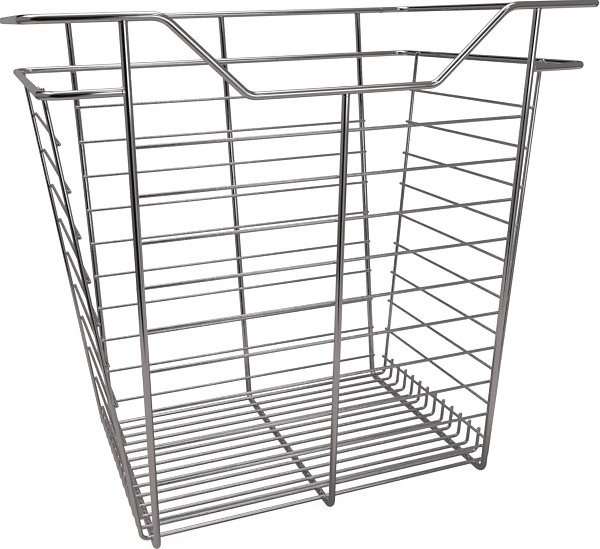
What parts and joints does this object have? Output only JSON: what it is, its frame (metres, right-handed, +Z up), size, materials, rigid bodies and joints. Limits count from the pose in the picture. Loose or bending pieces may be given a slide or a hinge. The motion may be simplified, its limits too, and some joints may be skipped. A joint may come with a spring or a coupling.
{
  "type": "pull-out closet basket",
  "caption": "Deep chrome wire basket with a dipped pull handle in its top rim and a second rim that hangs on closet runners.",
  "frame": {"origin": "on the floor that the basket stands on, under the middle of the top rim", "axes": "+X across the basket to the right seen from the front, +Y from the front with the pull handle to the back, +Z up"},
  "size_m": [0.4644, 0.3508, 0.4518],
  "materials": {
    "heavy_wire": "bright chrome plating on heavy drawn wire",
    "middle_wire": "bright chrome plating on middle drawn wire",
    "thin_wire": "bright chrome plating on thin drawn wire"
  },
  "bodies": {
    "root": {"top_rim": "heavy_wire", "hanger_rim": "heavy_wire", "upright_frame_left": "heavy_wire", "upright_frame_middle": "heavy_wire", "upright_frame_right": "heavy_wire", "cross_frame_front": "middle_wire", "cross_frame_back": "middle_wire", "floor_wire_01": "thin_wire", "floor_wire_02": "thin_wire", "floor_wire_03": "thin_wire", "floor_wire_04": "thin_wire", "floor_wire_05": "thin_wire", "floor_wire_06": "thin_wire", "floor_wire_07": "thin_wire", "floor_wire_08": "thin_wire", "floor_wire_09": "thin_wire", "floor_wire_10": "thin_wire", "floor_wire_11": "thin_wire", "floor_wire_12": "thin_wire", "front_wall_wire_01": "thin_wire", "front_wall_wire_02": "thin_wire", "front_wall_wire_03": "thin_wire", "front_wall_wire_04": "thin_wire", "front_wall_wire_05": "thin_wire", "front_wall_wire_06": "thin_wire", "front_wall_wire_07": "thin_wire", "front_wall_wire_08": "thin_wire", "front_wall_wire_09": "thin_wire", "front_wall_wire_10": "thin_wire", "back_wall_wire_01": "thin_wire", "back_wall_wire_02": "thin_wire", "back_wall_wire_03": "thin_wire", "back_wall_wire_04": "thin_wire", "back_wall_wire_05": "thin_wire", "back_wall_wire_06": "thin_wire", "back_wall_wire_07": "thin_wire", "back_wall_wire_08": "thin_wire", "back_wall_wire_09": "thin_wire", "back_wall_wire_10": "thin_wire", "left_wall_wire_01": "thin_wire", "left_wall_wire_02": "thin_wire", "left_wall_wire_03": "thin_wire", "left_wall_wire_04": "thin_wire", "left_wall_wire_05": "thin_wire", "left_wall_wire_06": "thin_wire", "left_wall_wire_07": "thin_wire", "left_wall_wire_08": "thin_wire", "left_wall_wire_09": "thin_wire", "left_wall_wire_10": "thin_wire", "right_wall_wire_01": "thin_wire", "right_wall_wire_02": "thin_wire", "right_wall_wire_03": "thin_wire", "right_wall_wire_04": "thin_wire", "right_wall_wire_05": "thin_wire", "right_wall_wire_06": "thin_wire", "right_wall_wire_07": "thin_wire", "right_wall_wire_08": "thin_wire", "right_wall_wire_09": "thin_wire", "right_wall_wire_10": "thin_wire"}
  },
  "joints": []
}
